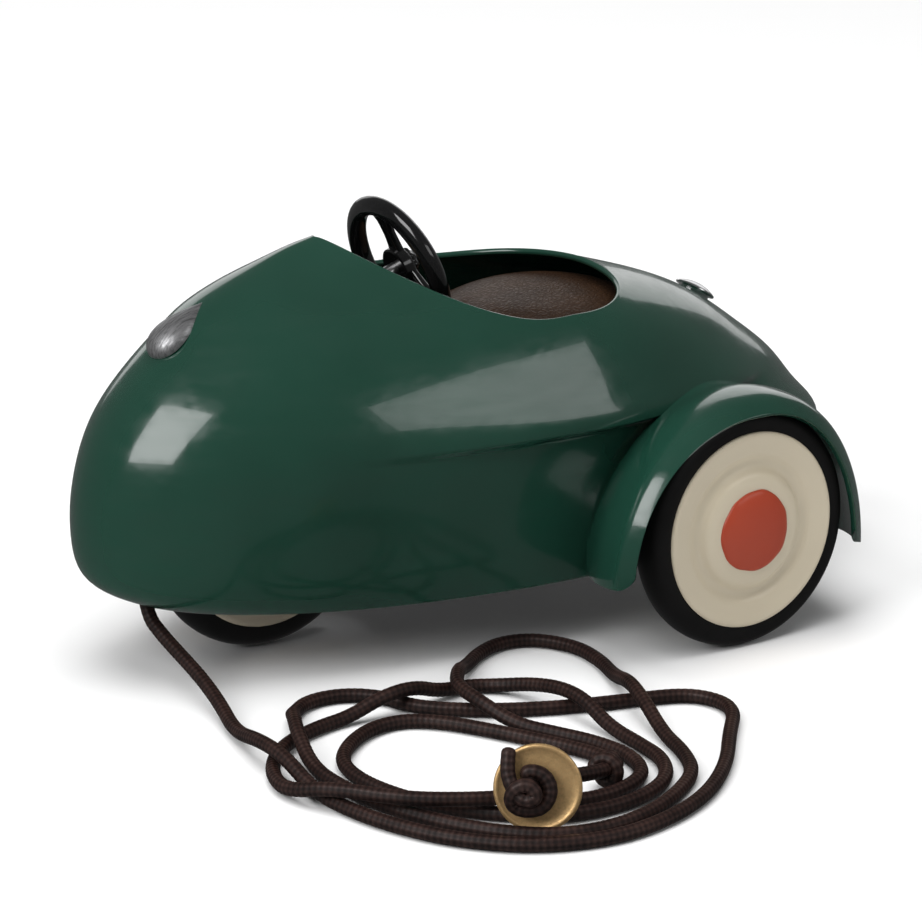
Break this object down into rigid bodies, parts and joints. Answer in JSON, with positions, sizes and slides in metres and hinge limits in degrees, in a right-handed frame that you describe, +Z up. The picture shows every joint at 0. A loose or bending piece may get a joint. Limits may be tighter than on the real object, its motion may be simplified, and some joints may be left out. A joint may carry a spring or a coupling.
{
  "type": "pull-along toy car",
  "caption": "Pressed-metal teardrop toy car on wheels with rear fenders, padded seat, turning steering wheel and a long pull cord with a round metal tag.",
  "frame": {"origin": "on the floor, at the centre of the car's plan outline without its cord", "axes": "+X towards the nose, +Y towards the car's left side, +Z up"},
  "size_m": [0.1934, 0.2004, 0.0928],
  "materials": {
    "body_paint": "glossy dark green enamel",
    "lamp_silver": "brushed silver paint",
    "chrome": "polished",
    "seat_leather": "dark brown pebbled leather",
    "seat_board": "plain board",
    "steel": "plain plated steel",
    "bush_brass": "turned",
    "black_gloss": "glossy black",
    "tyre_rubber": "satin black rubber",
    "wheel_cream": "cream enamel",
    "cap_red": "orange-red enamel",
    "cord_brown": "waxed round braid",
    "tag_brass": "satin stamped brass"
  },
  "bodies": {
    "car": {"body_shell": "body_paint", "floor_plate": "steel", "shell_tab_1": "steel", "shell_tab_2": "steel", "shell_tab_3": "steel", "shell_tab_4": "steel", "floor_screw_1": "steel", "floor_screw_2": "steel", "floor_screw_3": "steel", "floor_screw_4": "steel", "fender_left": "body_paint", "fender_right": "body_paint", "headlight": "lamp_silver", "tail_cap": "chrome", "seat_cushion": "seat_leather", "seat_base": "seat_board", "seat_frame": "steel", "seat_rivet_1": "steel", "seat_rivet_2": "steel", "front_bracket_left": "steel", "front_bracket_right": "steel", "rear_bracket_left": "steel", "rear_bracket_right": "steel", "bracket_rivet_1": "steel", "bracket_rivet_2": "steel", "bracket_rivet_3": "steel", "bracket_rivet_4": "steel", "front_bush_left": "bush_brass", "front_bush_right": "bush_brass", "rear_bush_left": "bush_brass", "rear_bush_right": "bush_brass", "dash_bracket": "steel", "column_bush": "bush_brass", "cord_eyelet": "bush_brass", "cord_inner_knot": "cord_brown", "pull_cord": "cord_brown", "cord_hitch": "cord_brown", "brass_disc": "tag_brass", "cord_end_knot": "cord_brown"},
    "rear_wheels": {"rear_axle": "steel", "rear_spacer_left": "steel", "rear_spacer_right": "steel", "rear_tyre_left": "tyre_rubber", "rear_tyre_right": "tyre_rubber", "rear_disc_left": "wheel_cream", "rear_disc_right": "wheel_cream", "rear_cap_left": "cap_red", "rear_cap_right": "cap_red"},
    "front_wheel": {"front_axle": "steel", "front_disc": "wheel_cream", "front_tyre": "tyre_rubber", "front_cap_left": "cap_red", "front_cap_right": "cap_red", "axle_clip_left": "steel", "axle_clip_right": "steel"},
    "steering": {"steering_wheel": "black_gloss", "steering_cap": "black_gloss", "steering_column": "steel", "column_clip": "steel"}
  },
  "joints": [
    {"name": "rear_axle_roll", "type": "hinge", "parent": "car", "child": "rear_wheels", "pos_m": [-0.0305, 0, 0.026], "axis": [0, 1, 0], "continuous": true},
    {"name": "front_axle_roll", "type": "hinge", "parent": "car", "child": "front_wheel", "pos_m": [0.0527, 0, 0.026], "axis": [0, 1, 0], "continuous": true},
    {"name": "steering_turn", "type": "hinge", "parent": "car", "child": "steering", "pos_m": [0.017, 0, 0.077], "axis": [-0.9379, 0, 0.3469], "continuous": true}
  ]
}
